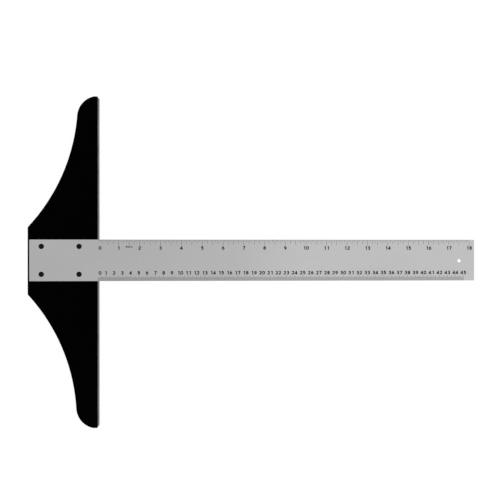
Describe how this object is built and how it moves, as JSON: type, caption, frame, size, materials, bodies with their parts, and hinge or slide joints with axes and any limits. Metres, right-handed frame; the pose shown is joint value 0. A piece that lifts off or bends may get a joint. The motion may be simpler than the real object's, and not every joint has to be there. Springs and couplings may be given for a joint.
{
  "type": "t square",
  "caption": "Fixed-head T square: graduated flat metal blade riveted into a channel in a black moulded head with curved arms, with a hang hole at the blade's free end.",
  "frame": {"origin": "on the head's working face, on the blade's centre line, level with the blade's underside", "axes": "+X along the blade towards its free end and out of the working face, +Y along the head's upper arm, +Z out of the blade's graduated side"},
  "size_m": [0.5474, 0.4027, 0.0134],
  "materials": {
    "blade_aluminium": "satin, finely brushed along the length",
    "head_plastic": "fine moulded texture",
    "rivet_black": "black, semi-gloss",
    "washer_steel": "plain stamped"
  },
  "bodies": {
    "root": {"blade": "blade_aluminium", "head": "head_plastic", "rivet_outer_upper": "rivet_black", "rivet_outer_lower": "rivet_black", "rivet_inner_upper": "rivet_black", "rivet_inner_lower": "rivet_black", "washer_outer_upper": "washer_steel", "washer_outer_lower": "washer_steel", "washer_inner_upper": "washer_steel", "washer_inner_lower": "washer_steel"}
  },
  "joints": []
}
